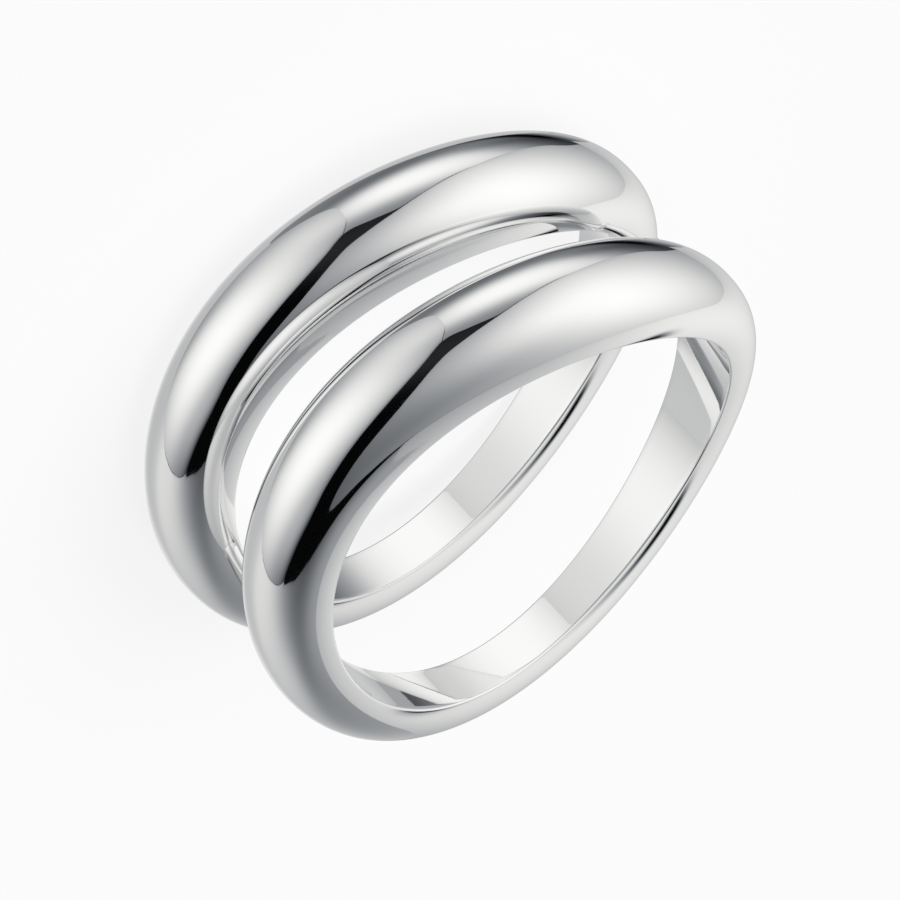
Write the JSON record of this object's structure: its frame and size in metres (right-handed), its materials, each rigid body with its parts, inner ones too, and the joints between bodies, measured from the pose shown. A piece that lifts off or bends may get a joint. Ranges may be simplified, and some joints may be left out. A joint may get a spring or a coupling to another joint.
{
  "type": "double band ring",
  "caption": "Double band finger ring in polished white metal: gently waved half-round bands, domed at the crown and narrow at the shank, joined behind the shoulders.",
  "frame": {"origin": "centre of the finger hole, midway between the two bands", "axes": "+Z along the finger hole, from the back band to the front band; +X to the crown, where the bands are widest and thickest; the shank is at -X"},
  "size_m": [0.0216, 0.021, 0.0109],
  "materials": {
    "polished_silver": "mirror-polished silver"
  },
  "bodies": {
    "root": {"double_band": "polished_silver"}
  },
  "joints": []
}
